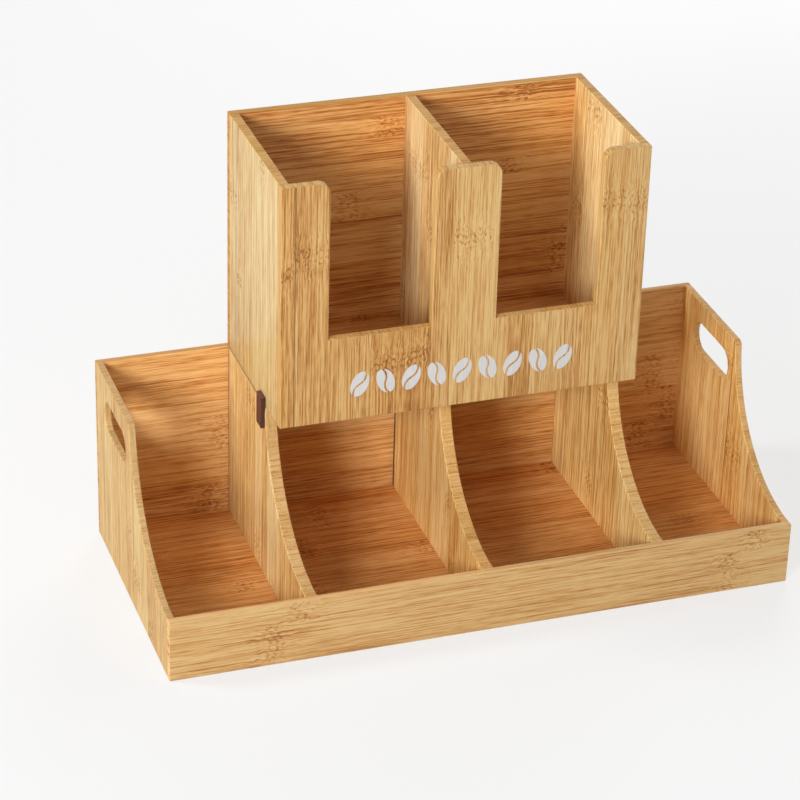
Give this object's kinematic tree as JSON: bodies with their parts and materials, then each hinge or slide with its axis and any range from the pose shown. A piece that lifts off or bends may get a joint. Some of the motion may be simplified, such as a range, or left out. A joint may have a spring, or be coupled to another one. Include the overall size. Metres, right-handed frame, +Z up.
{
  "type": "coffee station organizer",
  "caption": "Two-tier bamboo coffee station organizer: a low tray of open bays with swept dividers and handle slots, and a lift-off cup caddy with cut-out fronts.",
  "frame": {"origin": "centre of the tray's footprint on its underside", "axes": "+X to the right along the front, +Y to the back, +Z up"},
  "size_m": [0.4064, 0.1802, 0.287],
  "materials": {
    "bamboo_board": "clear satin lacquer on carbonised strip bamboo",
    "bamboo_peg": "bare bamboo",
    "dark_clip": "dark reddish brown stain, satin",
    "silver_print": "flat pale silver-grey print"
  },
  "bodies": {
    "tray": {"base_board": "bamboo_board", "back_board": "bamboo_board", "front_rail": "bamboo_board", "left_side_panel": "bamboo_board", "right_side_panel": "bamboo_board", "left_divider": "bamboo_board", "centre_divider": "bamboo_board", "right_divider": "bamboo_board", "left_locating_clip": "dark_clip", "right_locating_clip": "dark_clip", "tray_pegs": "bamboo_peg", "clip_pegs": "bamboo_peg"},
    "caddy": {"caddy_floor": "bamboo_board", "caddy_back_panel": "bamboo_board", "caddy_front_panel": "bamboo_board", "caddy_left_wall": "bamboo_board", "caddy_right_wall": "bamboo_board", "caddy_partition": "bamboo_board", "caddy_pegs": "bamboo_peg", "front_ornament": "silver_print"}
  },
  "joints": [
    {"name": "caddy_lift", "type": "slide", "parent": "tray", "child": "caddy", "axis": [0, 0, 1], "range_m": [0, 0.12]}
  ]
}
